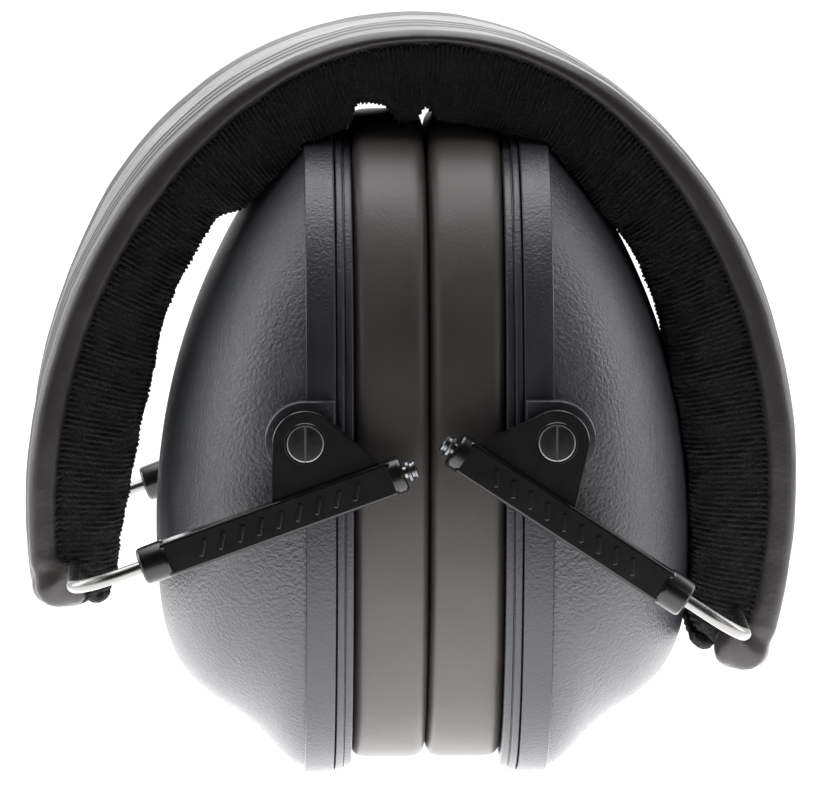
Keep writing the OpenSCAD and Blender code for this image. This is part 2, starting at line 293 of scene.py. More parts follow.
def cup_plastic():
    """Spark-eroded moulded plastic of the cups."""
    mat = new_material("cup_plastic", (0.03, 0.031, 0.036), 0.4, Specular_IOR_Level=0.6)
    fine = add_noise(mat, 0.6, 3.0, 0.6)
    coarse = add_noise(mat, 9.0, 3.0)
    patchy(mat, coarse, (0.024, 0.025, 0.030), (0.034, 0.035, 0.041), 0.36, 0.46)
    set_input(mat, "Normal", bump(mat, fine, 0.28, 1.0))
    return mat


def rim_plastic():
    """The smoother moulded band and plate."""
    mat = new_material("rim_plastic", (0.018, 0.018, 0.024), 0.36, Specular_IOR_Level=0.5)
    fine = add_noise(mat, 0.5, 3.0)
    smear = add_noise(mat, 6.0, 2.0, stretch=(1, 1, 0.25))
    patchy(mat, smear, (0.014, 0.014, 0.019), (0.022, 0.022, 0.029), 0.28, 0.44)
    set_input(mat, "Normal", bump(mat, fine, 0.14, 0.8))
    return mat


def arm_plastic():
    """Satin black nylon of the arms."""
    mat = new_material("arm_plastic", (0.004, 0.004, 0.004), 0.2, Specular_IOR_Level=0.4)
    fine = add_noise(mat, 0.4, 3.0)
    wear = add_noise(mat, 3.5, 4.0)
    patchy(mat, wear, (0.003, 0.003, 0.003), (0.006, 0.006, 0.006), 0.16, 0.26)
    set_input(mat, "Normal", bump(mat, fine, 0.01, 0.25))
    return mat


def cushion_vinyl():
    """Soft warm grey vinyl of the ear cushions."""
    mat = new_material("cushion_vinyl", (0.05, 0.043, 0.041), 0.46, Specular_IOR_Level=0.5)
    pores = add_cells(mat, 0.42)
    patch = add_noise(mat, 14.0, 3.0)
    patchy(mat, patch, (0.031, 0.026, 0.025), (0.041, 0.035, 0.033), 0.40, 0.52)
    low = bump(mat, pores, 0.035, 0.35)
    set_input(mat, "Normal", bump(mat, add_noise(mat, 1.8, 3.0), 0.08, 0.25, low))
    return mat


def band_vinyl():
    """Grained vinyl of the headband's cover."""
    mat = new_material("band_vinyl", (0.02, 0.017, 0.017), 0.4, Specular_IOR_Level=0.45)
    cells = add_cells(mat, 0.7)
    patch = add_noise(mat, 11.0, 4.0)
    patchy(mat, patch, (0.017, 0.014, 0.014), (0.025, 0.021, 0.021), 0.33, 0.47)
    low = bump(mat, cells, 0.05, 0.4)
    set_input(mat, "Normal", bump(mat, add_noise(mat, 2.4, 3.0), 0.12, 0.3, low))
    return mat


def rib_knit():
    """Black terry knit: dull, with a fine fuzz of loops."""
    mat = new_material("rib_knit", (0.008, 0.008, 0.008), 1.0, Specular_IOR_Level=0.06,
                       Sheen_Weight=0.06, Sheen_Roughness=0.6)
    loops = add_cells(mat, 0.55)
    fuzz = add_noise(mat, 0.22, 4.0, 0.75)
    set_input(mat, "Base Color", ramp(mat, fuzz, (0.003, 0.003, 0.003), (0.022, 0.022, 0.023), (0.38, 0.72)))
    low = bump(mat, loops, 0.25, 0.9)
    set_input(mat, "Normal", bump(mat, fuzz, 0.16, 0.9, low))
    return mat


def foam_material(name, dark, light):
    """Open-cell foam, coloured darker in the pits of its cells: painted shade in the pores."""
    mat = new_material(name, light, 0.95, Specular_IOR_Level=0.1)
    cells = add_cells(mat, 0.8)
    # Darker where the cells' bump sinks into pits: painted shade.
    set_input(mat, "Base Color", ramp(mat, cells, dark, light, (0.1, 0.6)))
    set_input(mat, "Normal", bump(mat, cells, 0.4, 0.9))
    return mat


def steel(name, base, roughness, line=0.25):
    """Drawn or rolled steel with fine lines."""
    mat = new_material(name, base, roughness, 1.0)
    lines = add_noise(mat, line, 3.0, 0.6, (1, 0.12, 1))
    set_input(mat, "Roughness", spread(mat, lines, roughness * 0.7, roughness * 1.4))
    set_input(mat, "Normal", bump(mat, lines, 0.006, 0.4))
    return mat


def pin_material():
    """Blackened pin with a slightly rubbed face."""
    mat = new_material("pin_black", (0.005, 0.005, 0.006), 0.3, Specular_IOR_Level=0.4)
    rub = add_noise(mat, 1.2, 4.0)
    patchy(mat, rub, (0.003, 0.003, 0.003), (0.012, 0.012, 0.013), 0.22, 0.4)
    return mat


def floor_material():
    """A white light table, brightest under the object and darker towards the front."""
    mat = new_material("floor_white", (0.06, 0.06, 0.06), 0.8, Emission_Color=(1, 1, 1, 1))
    tree = mat.node_tree
    place = add_node(tree, "TexCoord").outputs["Object"]
    reach = add_node(tree, "VectorMath", {0: place}, operation="LENGTH").outputs["Value"]
    fade = add_range(tree, reach, 0.05, 0.26, 3.6, 1.05, smooth=True)
    depth = add_node(tree, "SeparateXYZ", {"Vector": place}).outputs["Y"]
    near = add_range(tree, depth, -0.26, -0.09, 0.03, 1.0, smooth=True)
    both = add_node(tree, "Math", {0: fade, 1: near}, operation="MULTIPLY").outputs["Value"]
    seen = add_node(tree, "LightPath").outputs["Is Camera Ray"]
    pale = add_node(tree, "Mix", {"Factor": seen, "A": both}, {"B": 1.05})
    set_input(mat, "Emission Strength", pale.outputs["Result"])
    return mat


MATERIALS = {
    "cup": cup_plastic(),
    "rim": rim_plastic(),
    "arm": arm_plastic(),
    "cushion": cushion_vinyl(),
    "vinyl": band_vinyl(),
    "knit": rib_knit(),
    "foam": foam_material("cream_foam", (0.30, 0.28, 0.22), (0.55, 0.53, 0.46)),
    "damping": foam_material("grey_foam", (0.03, 0.03, 0.03), (0.11, 0.11, 0.11)),
    "wire": steel("bright_wire", (0.22, 0.217, 0.213), 0.26),
    "strip": steel("spring_strip", (0.45, 0.45, 0.46), 0.3, 0.6),
    "stop": steel("dark_steel", (0.14, 0.145, 0.155), 0.28),
    "pin": pin_material(),
    # Lighter steel for the pin's chamfer ring and slot walls: a painted highlight on the black pin.
    "pin_edge_highlight": steel("pin_edge_highlight", (0.36, 0.36, 0.37), 0.4),
}


# ---------------------------------------------------------------- headband
def pad_thickness(angle):
    """The CAD pad's thickness at an angle from the crown, in degrees."""
    a = np.abs(angle)
    return 9.5 + (14.6 - 9.5) * smooth_step((a - 24) / 32) + (12.4 - 14.6) * smooth_step((a - 85) / 22)


def band_point(angle, depth, y):
    """Row frame points at an angle from the crown, a depth below the outer face, and y."""
    angle, depth, y = np.broadcast_arrays(np.asarray(angle, float), depth, y)
    a = np.radians(angle)
    nx, nz = -np.sin(a) / HALF_SPAN, -np.cos(a) / RISE
    size = np.hypot(nx, nz)
    x = HALF_SPAN * np.sin(a) + nx / size * depth
    z = RISE * np.cos(a) + nz / size * depth
    return np.stack([
        x * math.cos(LEAN) + z * math.sin(LEAN),
        y.astype(float),
        BAND_MID - x * math.sin(LEAN) + z * math.cos(LEAN),
    ], -1)


def end_distance(angle):
    """Distance along the band from its nearer end."""
    return np.minimum(angle - BAND_ENDS[0], BAND_ENDS[1] - angle) * BAND_ARC


def seam_depth(angle):
    """Depth of the seam between vinyl and knit on the band's front and rear."""
    a = np.abs(angle)
    base = 2.6 + 2.0 * smooth_step((a - 8) / 45)
    wrapped = pad_thickness(angle) - 3.4
    return base + (wrapped - base) * smooth_step((9.5 - end_distance(angle)) / 4.5)


def skew(angle, y):
    """The band isn't quite true: towards its rear it stands out on one side and in on the other."""
    rear = (y + BAND_WIDTH / 2) / BAND_WIDTH
    return -rear * (1.7 * np.exp(-((angle + 45) / 24) ** 2) - 1.1 * np.exp(-((angle - 28) / 28) ** 2))


def dome_profile(per_span=40):
    """The dome's lowest line as (d, z), a smooth curve through its points."""
    p = np.array([(2 * DOME_LOW[0][0] - DOME_LOW[1][0], 0.4)] + DOME_LOW + [(41.6, 47.5)])
    out = []
    for i in range(1, len(p) - 2):
        for t in np.linspace(0, 1, per_span, endpoint=False):
            a, b, c, d = p[i - 1], p[i], p[i + 1], p[i + 2]
            out.append(0.5 * (2 * b + (c - a) * t + (2 * a - 5 * b + 4 * c - d) * t * t
                              + (3 * b - a - 3 * c + d) * t ** 3))
    out.append(p[-2])
    return np.array(out)


PROFILE = dome_profile()


def dome_slice(d, wall=0.0):
    """(lowest Z, highest Z, half width) of the dome at depth d, set in by wall."""
    d = np.asarray(d, float)
    share = np.clip((d - DOME_START) / (DOME_DEPTH - wall - DOME_START), 0, 1)
    outer = DOME_START + share * (DOME_DEPTH - DOME_START)
    low = np.interp(outer, PROFILE[:, 0], PROFILE[:, 1])
    high = DOME_MID + np.sqrt(np.maximum(DOME_TOP_R ** 2 - (outer - DOME_DEPTH + DOME_TOP_R) ** 2, 0))
    half = (RIM_WIDTH / 2 - 0.45) * np.sqrt(np.maximum(1 - share ** 2.4, 0))
    shrink = wall / (RIM_WIDTH / 2)
    mid = (low + high) / 2
    return mid - (mid - low) * (1 - shrink), mid + (high - mid) * (1 - shrink), half * (1 - shrink)


def inside_cups(p, gap):
    """Which points lie in a cup or its cushion, grown by gap."""
    d = np.abs(p[..., 0] - PLANE_X) - gap * 0.7
    low, high, half = dome_slice(np.maximum(d, DOME_START))
    flat = d < DOME_START
    soft = d < PLATE_START
    low = np.where(flat, 0, low)
    high = np.where(flat, np.where(soft, CUSHION_MID + CUSHION_HEIGHT / 2, RIM_HEIGHT), high)
    half = np.where(flat, np.where(soft, CUSHION_WIDTH, RIM_WIDTH) / 2, half)
    mid, tall = (low + high) / 2, (high - low) / 2 + gap
    wide = half + gap
    v = (np.abs(p[..., 2] - mid) / np.maximum(tall, 1e-3)) ** OVAL_POWER
    w = (np.abs(p[..., 1]) / np.maximum(wide, 1e-3)) ** OVAL_POWER
    return (d < DOME_DEPTH) & (v + w < 1)


def pressed_depth(angle, depth, y, gap):
    """Depths cut back to where the pad meets the cups."""
    depth = np.array(np.broadcast_to(depth, np.broadcast(angle, y).shape), float)
    low = np.full_like(depth, 3.0)
    high = depth.copy()
    hit = inside_cups(band_point(angle, high, y), gap)
    for _ in range(14):
        mid = (low + high) / 2
        inside = inside_cups(band_point(angle, mid, y), gap)
        high = np.where(hit & inside, mid, high)
        low = np.where(hit & ~inside, mid, low)
    return high


# The knit pad's depth where nothing presses it, as (angle from the crown, depth)
PAD_HANG = [(-108, 12.2), (-100, 13.5), (-95, 14.9), (-87, 15.7), (-78, 16.2), (-71, 15.4), (-65, 14.4),
            (-56, 13.9), (-47.5, 13.0), (-43.5, 15.4), (-36, 15.4), (-24, 14.4), (-18.5, 13.0), (-16.5, 10.0),
            (-14, 10.6), (-11, 11.6), (-9, 14.4), (-5.2, 14.4), (-3.6, 12.2), (-2, 12.6), (-1, 14.4), (20, 14.6),
            (36, 16.0), (42, 15.3), (50, 15.1), (58, 15.7), (64, 16.3), (68, 17.6), (84, 17.0), (97, 14.6),
            (110, 12.4)]


def hanging_depth(angle):
    """The knit pad's depth where nothing presses it, with its sags and its pinched places."""
    fine = np.linspace(-112, 112, 1793)
    depth = np.interp(fine, *zip(*PAD_HANG))
    kernel = np.exp(-np.linspace(-2, 2, 25) ** 2)
    depth = np.convolve(np.pad(depth, 12, mode="edge"), kernel / kernel.sum(), "valid")
    return np.interp(angle, fine, depth)


def end_close(e, y, depth, thick):
    """Rounds a part's end, e away: towards it the section closes on its middle line and narrows."""
    t = np.clip(1 - e / 5.5, 0, 1)
    k = np.sqrt(np.maximum(1 - t ** 2.2, 0))
    mid = thick * 0.43
    return y * (1 - 0.2 * (1 - k)), mid + (depth - mid) * k


def gathers(angle, y, depth):
    """Pleats drawn in towards the wire's exit, and across the closed end."""
    e = end_distance(angle)
    along, down = e - 8.0, depth - 6.8
    reach = np.hypot(along, down)
    turn = np.arctan2(down, along)
    star = np.sin(7 * turn + 1.3 * np.sign(y)) * np.exp(-((reach - 5.5) / 3.6) ** 2) * smooth_step((9.5 - e) / 5)
    folds = np.sin(y * 1.35 + 2.0 * np.sin(y * 0.31)) * np.exp(-(e / 5.0) ** 2)
    return 0.42 * star * (np.abs(y) > 12) + 0.55 * folds


def band_section(s, half, r, seam, flat, way, flank):
    """(y, depth) across the band for s from 0, the front seam, to 1, the rear one.

    It runs along the front flank, round a corner of radius r to the flat face, over that and back."""
    turn = flat - way * r
    corner = r * math.pi / 2
    lengths = [flank, corner, 2 * (half - r), corner, flank]
    at = s * sum(lengths)
    y, d, run = np.zeros_like(at), np.zeros_like(at), np.zeros_like(at)
    for k, length in enumerate(lengths):
        inside = (at >= run) & (at <= run + length + 1e-9)
        u = (at - run) / length
        sine, cosine = np.sin(u * math.pi / 2), np.cos(u * math.pi / 2)
        yy, dd = (
            (-half, seam + u * (turn - seam)),
            (-half + r - r * cosine, turn + way * r * sine),
            (-half + r + u * length, flat),
            (half - r + r * sine, turn + way * r * cosine),
            (half, turn - u * (turn - seam)),
        )[k]
        y, d = np.where(inside, yy, y), np.where(inside, dd, d)
        run = run + length
    return y, d


def outward_normals(pts, angles, thick):
    """Unit normals of a grid of points on the band, away from the pad's middle line."""
    out = np.cross(np.gradient(pts, axis=0), np.gradient(pts, axis=1))
    out /= np.maximum(np.linalg.norm(out, axis=-1, keepdims=True), 1e-9)
    centre = band_point(angles, thick[:, 0] / 2, 0.0)[:, None, :]
    return out * np.sign(np.sum(out * (pts - centre), -1, keepdims=True))


def lined_sheet(pts, out, calm):
    """(verts, faces) of a grid of points and its lining, thinner at the band's ends, walled at both seams."""
    inner = pts - out * (0.1 + 0.9 * calm)[..., None]
    rows, cols = pts.shape[:2]
    count = rows * cols
    faces = grid_faces(rows, cols)
    back = [[i + count for i in f[::-1]] for f in faces]
    walls = []
    for r in range(rows - 1):
        for c, flip in ((0, 1), (cols - 1, -1)):
            a, b = r * cols + c, (r + 1) * cols + c
            walls.append([a, b, b + count, a + count][::flip])
    return np.vstack([pts.reshape(-1, 3), inner.reshape(-1, 3)]), faces + back + walls


CHANNELS = [-12.5, -9.5, -6.5, 6.5, 9.5, 12.5]
VINYL_CORNER = 1.4
KNIT_CORNER = 4.2


def build_cover():
    """The vinyl cover: crowned, with raised channels, rolled edges and gathered ends."""
    angles = np.linspace(*BAND_ENDS, 340)
    s = np.linspace(0, 1, 190)
    angle, share = np.meshgrid(angles, s, indexing="ij")
    seam = seam_depth(angle)
    y, depth = band_section(share, BAND_WIDTH / 2, VINYL_CORNER, seam, 0.0, -1,
                            np.maximum(seam - VINYL_CORNER, 0.2))
    crown = 0.55 * (1 - (y / (BAND_WIDTH / 2)) ** 2) * (depth < 0.3)
    ridge = sum(np.exp(-((y - c) / 0.42) ** 2) for c in CHANNELS) * (depth < 0.3)
    ends = smooth_step(end_distance(angle) / 14)
    tuck = np.exp(-((depth - seam) / 0.7) ** 2) * (depth > 1.2)
    bulge = 0.35 * np.sin(np.clip(depth / seam, 0, 1) * math.pi) * (np.abs(y) > 15)
    y = y + np.sign(y) * (bulge - 0.55 * tuck)
    lift = crown + 0.17 * ridge * ends
    thick = pad_thickness(angle)
    y2, d2 = end_close(end_distance(angle), y, depth - lift, thick)
    pts = band_point(angle, d2 + skew(angle, y), y2)
    wave = 0.28 * bent_noise(pts, 13.0, 3.1) + 0.10 * bent_noise(pts, 4.0, 7.7)
    push = gathers(angle, y, depth)
    out = outward_normals(pts, angles, thick)
    calm = smooth_step(end_distance(angle) / 2.0)
    pts = pts + out * ((wave * 0.8 + push) * calm)[..., None]
    piece = mesh_piece("headband_cover_vinyl", *lined_sheet(pts, out, calm), MATERIALS["vinyl"], "headband", "vinyl")
    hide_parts("headband_cover")
    return piece


RIB_PITCH = 0.84
HEM_BACK = 2.2
HEM_HALF = 15.8


def hem_roll(angle, depth):
    """The knit's bunched hem where the cover is drawn in at the band's end."""
    turn = np.linspace(0, 2 * math.pi, 72, endpoint=False)
    rings = []
    for t in np.linspace(-1, 1, 90):
        r = 1.95 * (1 - abs(t) ** 5) ** 0.5 + 0.02
        rings.append(band_point(angle + r * np.cos(turn) / BAND_ARC, depth + r * np.sin(turn), HEM_HALF * t))
    rings = np.array(rings)
    middle = band_point(angle, depth, np.linspace(-HEM_HALF, HEM_HALF, 90))[:, None, :]
    lumps = 0.14 * bent_noise(rings, 2.4, 1.9) + 0.14 * bent_noise(rings, 0.8, 3.3)
    return closed_loft(rings + (rings - middle) * lumps[..., None] * 1.2)


def build_liner():
    """The ribbed knit pad on the band's inner side."""
    rows = 1180
    angles = np.linspace(BAND_ENDS[0], BAND_ENDS[1] - HEM_BACK, rows)
    s = np.linspace(0, 1, 78)
    angle, share = np.meshgrid(angles, s, indexing="ij")
    seam = seam_depth(angle) - 0.25
    thick = hanging_depth(angle)
    y, depth = band_section(share, BAND_WIDTH / 2 - 0.2, KNIT_CORNER, seam, thick, 1,
                            np.maximum(thick - seam - KNIT_CORNER, 0.3))
    swell = 0.5 * np.sin(np.clip((depth - seam) / (thick - seam), 0, 1) * math.pi) * (np.abs(y) > 13)
    y = y + np.sign(y) * (swell - 0.25)
    depth = pressed_depth(angle, depth, y, 0.45)
    arc = angle * RIB_ARC
    drift = 0.35 * np.array([noise.noise(Vector((a * 0.05, b * 0.9, 4.0)))
                             for a, b in zip(arc.ravel(), share.ravel())]).reshape(arc.shape)
    rib = np.cos(2 * math.pi * (arc + drift) / RIB_PITCH)
    e = np.minimum(end_distance(angle), (BAND_ENDS[1] - HEM_BACK - angle) * BAND_ARC)
    y2, d2 = end_close(e, y, depth, pad_thickness(angle))
    pts = band_point(angle, d2 + skew(angle, y) * np.clip(1 - (depth - seam) / 8, 0, 1), y2)
    big = bent_noise(pts, 10.0, 11.3)
    fine = bent_noise(pts, 0.75, 5.9)
    mid = bent_noise(pts, 2.6, 8.2)
    out = outward_normals(pts, angles, thick)
    edge = smooth_step((share * (1 - share)) / 0.01)
    lift = 0.18 * rib * (0.6 + 1.3 * mid) + 0.35 * big * edge + 0.26 * fine + 0.3 * mid
    hem = (1 - edge) * (0.3 + 0.35 * rib + 0.5 * fine)
    calm = smooth_step(e / 2.0)
    pts = pts + out * ((lift * (0.3 + 0.7 * edge) + hem + 0.3 * gathers(angle, y, depth)) * calm)[..., None]
    parts = [lined_sheet(pts, out, calm)]
    parts += [hem_roll(BAND_ENDS[0] + 0.9, 9.5), hem_roll(BAND_ENDS[1] - 2.4, 9.9)]
    piece = mesh_piece("headband_knit_pad", *join_parts(parts), MATERIALS["knit"], "headband", "knit")
    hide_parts("headband_liner")
    return piece


def build_band_foam():
    """The foam core between the strip and the knit."""
    angles = np.linspace(BAND_ENDS[0] + 5, BAND_ENDS[1] - 7, 130)
    a = np.linspace(0, 2 * math.pi, 40, endpoint=False)
    angle, turn = np.meshgrid(angles, a, indexing="ij")
    thick = pad_thickness(angle)
    c, s = np.cos(turn), np.sin(turn)
    y = 15.6 * np.sign(c) * np.abs(c) ** 0.45
    mid, half = (thick - 1.6 + 3.2) / 2, (thick - 1.6 - 3.2) / 2
    depth = mid + half * np.sign(s) * np.abs(s) ** 0.5
    depth = pressed_depth(angle, depth, y, 2.2)
    rings = band_point(angle, depth, y)
    rings = rings + (0.18 * bent_noise(rings, 2.0, 2.2))[..., None]
    verts, faces = closed_loft(rings)
    piece = mesh_piece("headband_foam_core", verts, faces, MATERIALS["foam"], "headband", "foam")
    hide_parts("headband_foam")
    return piece


# ---------------------------------------------------------------- cups
def cup_points(side, d, zy):
    """Row frame points from a depth outward of the meeting plane and (Z, Y) points."""
    zy = np.asarray(zy, float)
    x = np.broadcast_to(PLANE_X + SIDES[side] * np.asarray(d, float), zy.shape[:-1])
    return np.stack([x, zy[..., 1], zy[..., 0]], -1)


def oval_ring(side, d, height, width, mid, steps):
    return cup_points(side, d, oval(height, width, steps) + [mid, 0])


def rim_rings(side, profile, steps):
    """Rings that follow the rim's oval, through (depth, inset) points."""
    return [oval_ring(side, d, RIM_HEIGHT - 2 * i, RIM_WIDTH - 2 * i, RIM_MID, steps) for d, i in profile]


def dome_rings(side, steps, count, wall=0.0):
    rings = []
    for t in np.linspace(0, 1, count)[:-1]:
        d = DOME_START + (DOME_DEPTH - wall - DOME_START) * math.sin(t * math.pi / 2)
        low, high, half = dome_slice(d, wall)
        rings.append(oval_ring(side, d, high - low, 2 * half, (high + low) / 2, steps))
    tip = cup_points(side, DOME_DEPTH - wall, np.full((steps, 2), [DOME_MID, 0.0]))
    rings.append(tip)
    return rings


def star_outline(shape, steps):
    """Radius of an outline about its middle, at evenly spaced angles."""
    return np.array([shape(a) for a in np.linspace(0, 2 * math.pi, steps, endpoint=False)])


def polar_ring(centre, radii, y, place):
    """A ring in a plane of constant y: place maps (along, up, y) to the row frame."""
    a = np.linspace(0, 2 * math.pi, len(radii), endpoint=False)
    return [place(centre[0] + r * math.cos(t), centre[1] + r * math.sin(t), y) for r, t in zip(radii, a)]


def polar_rows(centre, rows, steps, place):
    """Rings through (radii, y) pairs, where a single radius makes a circle."""
    return [polar_ring(centre, np.broadcast_to(radii, steps), y, place) for radii, y in rows]


def boss_shape(angle):
    """The pivot boss: round, with a straight-edged tab to the rim's inner edge."""
    c, s = math.cos(angle), math.sin(angle)
    if c >= 0:
        return BOSS_R
    reach = (PIVOT_D - RIM_START - 0.15) / max(-c, 1e-6)
    rise = BOSS_R / max(abs(s), 1e-6)
    return min(reach, rise)


PIVOT_D = abs(mm(JOINTS["left_cup_turn"]["pos_m"])[0] - PLANE_X)
PIVOT_Z = mm(JOINTS["left_cup_turn"]["pos_m"])[2]


def boss_parts(side):
    """Both pivot bosses of a cup, as rounded raised pads with the pin's bore."""
    steps = 96
    outline = star_outline(boss_shape, steps)
    parts = []
    for front in (-1, 1):
        place = lambda along, up, y: cup_points(side, along, (up, front * y))
        rows = ((outline, 38.8), (outline, BOSS_Y - 0.35), (outline - 0.12, BOSS_Y - 0.1),
                (outline - 0.38, BOSS_Y), (2.25, BOSS_Y), (2.06, BOSS_Y - 0.2), (2.06, 39.3), (0.01, 39.3))
        parts.append(closed_loft(polar_rows((PIVOT_D, PIVOT_Z), rows, steps, place)))
    return parts


def build_shell(side):
    """A cup's moulded shell: the rim band, a small step, the dome, the bosses and the inner wall."""
    steps = 192
    band = [(RIM_START + 0.02, 0.3), (RIM_START + 0.1, 0.08), (RIM_START + 0.3, 0.0), (DOME_START - 0.35, 0.0),
            (DOME_START - 0.12, 0.06), (DOME_START, 0.28)]
    outer = rim_rings(side, band, steps) + dome_rings(side, steps, 56)
    inner = dome_rings(side, steps, 30, CUP_WALL)[::-1]
    inner += rim_rings(side, [(DOME_START, CUP_WALL), (RIM_START + 0.02, CUP_WALL)], steps)
    outer = np.array(outer)
    inner = np.array(inner)
    v1 = outer.reshape(-1, 3)
    f1 = grid_faces(len(outer), steps, wrap_cols=True)
    v2 = inner.reshape(-1, 3)
    f2 = grid_faces(len(inner), steps, wrap_cols=True, start=len(v1))
    last = len(v1) + (len(inner) - 1) * steps
    lip = [[last + i, last + (i + 1) % steps, (i + 1) % steps, i] for i in range(steps)]
    verts, faces = join_parts([(np.vstack([v1, v2]), f1 + f2 + lip)] + boss_parts(side))
    piece = mesh_piece(f"{side}_cup_moulding", verts, faces, MATERIALS["cup"], f"{side}_cup", "cup_plastic")
    piece.data.materials.append(MATERIALS["rim"])
    for poly in piece.data.polygons:
        c = poly.center / MM
        d = abs(c.x - PLANE_X)
        if d < DOME_START + 0.05 or abs(c.y) > BOSS_Y - 0.6:
            poly.material_index = 1
    sharpen(piece, 22)
    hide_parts(f"{side}_cup_shell")
    return piece


def build_plate(side):
    """The stepped cushion plate, with its groove and the lip inside the shell."""
    steps = 160
    half_ear = (RIM_HEIGHT - EAR_HEIGHT) / 2
    section = [(11.62, 2.6), (11.62, 1.1), (11.75, 0.86), (12.0, 0.8), (12.75, 0.8), (12.86, 0.95), (12.98, 0.95),
               (13.05, 0.42), (13.2, 0.3), (14.0, 0.3), (14.12, 0.4), (14.2, 0.7), (14.22, 3.6), (17.2, 3.7),
               (17.3, 3.85), (17.3, 4.9), (17.2, 5.0), (14.3, 5.05)]
    rings = rim_rings(side, section, steps)
    ear = [(14.25, 0.3), (14.0, 0.0), (12.1, 0.0), (11.75, 0.15), (11.62, 0.5)]
    for d, grow in ear:
        rings.append(oval_ring(side, d, EAR_HEIGHT + 2 * grow, EAR_WIDTH + 2 * grow, RIM_MID, steps))
    piece = mesh_piece(f"{side}_cushion_ring_plate", *closed_tube(rings), MATERIALS["rim"], f"{side}_cup",
                       "moulded_plastic")
    sharpen(piece, 50)
    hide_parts(f"{side}_cushion_plate")
    return piece


def cushion_section(inset, points):
    """A cushion's cross-section as (depth, across): 0 is the ear opening's wall and 1 the outer wall."""
    low, high = TOUCH_GAP + inset, PLATE_START - inset
    mid, half = (low + high) / 2, (high - low) / 2
    out = []
    for t in np.linspace(0, 2 * math.pi, points, endpoint=False):
        c, s = math.cos(t), math.sin(t)
        across = 0.5 + 0.5 * np.sign(c) * abs(c) ** 0.34
        depth = mid + half * np.sign(s) * abs(s) ** 0.34
        out.append((depth, across))
    return out


def cushion_rings(side, inset, steps, points):
    rings = []
    for depth, across in cushion_section(inset, points):
        inner_h, inner_w = EAR_HEIGHT + 2 * inset, EAR_WIDTH + 2 * inset
        outer_h, outer_w = CUSHION_HEIGHT - 2 * inset, CUSHION_WIDTH - 2 * inset
        h = inner_h + (outer_h - inner_h) * across
        w = inner_w + (outer_w - inner_w) * across
        mid = RIM_MID + (CUSHION_MID - RIM_MID) * across
        rings.append(oval_ring(side, depth, h, w, mid, steps))
    return np.array(rings)


def inflate(piece, pressure, cap, pin_test, frames=20):
    """Swells a closed mesh with a cloth simulation, and lets no point move more than cap metres."""
    before = np.array([v.co for v in piece.data.vertices], float)
    group = piece.vertex_groups.new(name="held")
    group.add([v.index for v in piece.data.vertices if pin_test(v.co)], 1.0, "ADD")
    cloth = piece.modifiers.new("cloth", "CLOTH")
    cloth.settings.quality = 6
    cloth.settings.mass = 0.2
    cloth.settings.tension_stiffness = 18
    cloth.settings.compression_stiffness = 18
    cloth.settings.bending_stiffness = 0.4
    cloth.settings.use_pressure = True
    cloth.settings.uniform_pressure_force = pressure
    cloth.settings.vertex_group_mass = "held"
    cloth.settings.effector_weights.gravity = 0
    cloth.point_cache.frame_start = 1
    cloth.point_cache.frame_end = frames
    scene = bpy.context.scene
    for f in range(1, frames + 1):
        scene.frame_set(f)
    graph = bpy.context.evaluated_depsgraph_get()
    after = np.array([v.co for v in piece.evaluated_get(graph).data.vertices], float)
    piece.modifiers.remove(cloth)
    scene.frame_set(1)
    step = after - before
    size = np.maximum(np.linalg.norm(step, axis=1, keepdims=True), 1e-12)
    after = before + step * np.minimum(1, cap / size)
    piece.data.vertices.foreach_set("co", after.ravel())
    piece.vertex_groups.clear()
    piece.data.update()


def build_cushion(side):
    """An ear cushion: a soft ring, blown up by simulation, flat where it meets the other one."""
    rings = cushion_rings(side, 0.2, 120, 40)
    piece = mesh_piece(f"{side}_ear_cushion", *closed_tube(rings), MATERIALS["cushion"], f"{side}_cup",
                       "cushion_vinyl")
    sign = SIDES[side]
    back = (PLATE_START - 1.6) * MM

    def at_plate(co):
        return (co.x - PLANE_X * MM) * sign > back

    inflate(piece, 3.0, 0.8 * MM, at_plate)
    co = np.array([v.co for v in piece.data.vertices], float) / MM
    middle = (TOUCH_GAP + PLATE_START) / 2
    d = middle + ((co[:, 0] - PLANE_X) * sign - middle) * 1.08
    co[:, 0] = PLANE_X + sign * np.clip(d, 0.04, PLATE_START - 0.02)
    push = 0.16 * bent_noise(co, 9.0, 1.7 + sign) + 0.05 * bent_noise(co, 2.2, 6.0)
    radial = co - [PLANE_X, 0, RIM_MID]
    radial[:, 0] = 0
    radial /= np.linalg.norm(radial, axis=1, keepdims=True)
    co = co + radial * push[:, None]
    piece.data.vertices.foreach_set("co", (co * MM).ravel())
    smooth = piece.modifiers.new("smooth", "SUBSURF")
    smooth.levels = smooth.render_levels = 1
    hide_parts(f"{side}_cushion_skin")
    return piece


def build_cushion_foam(side):
    """The foam ring sealed in the cushion."""
    rings = cushion_rings(side, 1.9, 96, 28)
    rings = rings + (0.12 * bent_noise(rings, 1.6, 9.1))[..., None]
    piece = mesh_piece(f"{side}_cushion_foam_ring", *closed_tube(rings), MATERIALS["foam"], f"{side}_cup", "foam")
    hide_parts(f"{side}_cushion_foam")
    return piece


